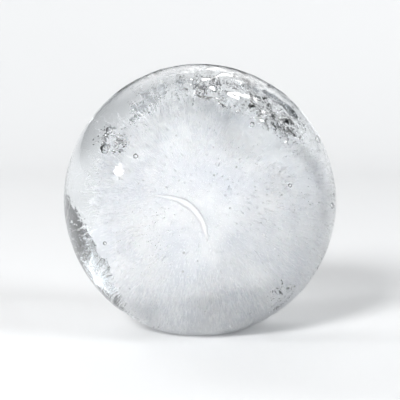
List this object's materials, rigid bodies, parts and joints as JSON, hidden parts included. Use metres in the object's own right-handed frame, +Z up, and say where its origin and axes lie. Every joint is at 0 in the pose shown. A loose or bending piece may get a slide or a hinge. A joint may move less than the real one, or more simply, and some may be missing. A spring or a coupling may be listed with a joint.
{
  "type": "ice ball",
  "caption": "Round ball of clear ice with a cloudy white heart, for chilling a drink, standing on a small flat spot.",
  "frame": {"origin": "middle of the flat spot that the ball stands on", "axes": "+Z up through the ball's centre, -Y towards the viewer, +X to the viewer's right"},
  "size_m": [0.0601, 0.06, 0.0588],
  "materials": {
    "clear_ice": "wet gloss over clear ice",
    "cloudy_ice": "matte white, the heart full of trapped air, with the bubbles and cracks round it"
  },
  "bodies": {
    "root": {"ice_ball": "clear_ice", "cloudy_heart": "cloudy_ice"}
  },
  "joints": []
}
